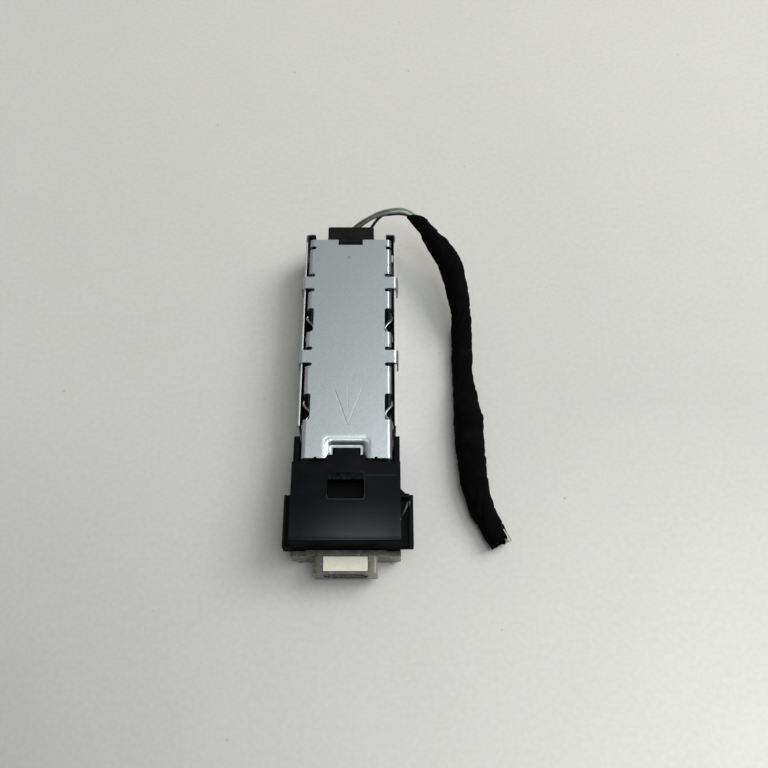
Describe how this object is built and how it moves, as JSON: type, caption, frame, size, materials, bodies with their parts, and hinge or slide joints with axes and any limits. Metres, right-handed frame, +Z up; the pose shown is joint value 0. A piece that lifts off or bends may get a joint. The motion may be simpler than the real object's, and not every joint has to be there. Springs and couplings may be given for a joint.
{
  "type": "usb connector",
  "caption": "Console port module with a folded steel case, moulded nose, light guide round the port, and a cut harness lead.",
  "frame": {"origin": "underside of the case's floor, on its centreline, halfway between the port's face and the back of the plug", "axes": "+Y from the port towards the harness plug, +Z up out of the lid, +X to the side that the lead lies on"},
  "size_m": [0.0485, 0.0886, 0.0131],
  "materials": {
    "zinc_steel": "satin zinc plate",
    "spring_steel": "bright",
    "black_moulding": "fine satin",
    "light_guide_plastic": "cloudy translucent",
    "cream_plastic": "satin",
    "port_steel": "bright nickel",
    "port_plastic": "matte",
    "board_green": "solder mask",
    "chip_epoxy": "matte",
    "coil_ferrite": "matte",
    "can_aluminium": "satin",
    "led_white": "glossy",
    "tinned_brass": "tinned",
    "lock_plastic": "satin",
    "cloth_tape": "woven, matte",
    "wire_green": "satin",
    "wire_white": "satin",
    "wire_grey": "satin",
    "wire_dark": "satin"
  },
  "bodies": {
    "module": {"top_cover": "zinc_steel", "bottom_shell": "zinc_steel", "spring_strip_left": "spring_steel", "spring_strip_right": "spring_steel", "front_housing": "black_moulding", "light_guide": "light_guide_plastic", "diffuser": "cream_plastic", "usb_shell": "port_steel", "usb_insulator": "port_plastic", "circuit_board": "board_green", "charge_chip": "chip_epoxy", "power_inductor": "coil_ferrite", "capacitor_1": "can_aluminium", "capacitor_2": "can_aluminium", "capacitor_3": "can_aluminium", "capacitor_4": "can_aluminium", "led_left": "led_white", "led_right": "led_white", "header_housing": "black_moulding", "header_pin_1": "tinned_brass", "header_pin_2": "tinned_brass", "header_pin_3": "tinned_brass", "header_pin_4": "tinned_brass"},
    "harness": {"plug_housing": "black_moulding", "plug_lock": "lock_plastic", "terminal_1": "tinned_brass", "terminal_2": "tinned_brass", "terminal_3": "tinned_brass", "terminal_4": "tinned_brass", "wire_1": "wire_green", "wire_2": "wire_white", "wire_3": "wire_grey", "wire_4": "wire_dark", "taped_sleeve": "cloth_tape"}
  },
  "joints": [
    {"name": "plug_unmate", "type": "slide", "parent": "module", "child": "harness", "axis": [0, 1, 0], "range_m": [0, 0.008]}
  ]
}
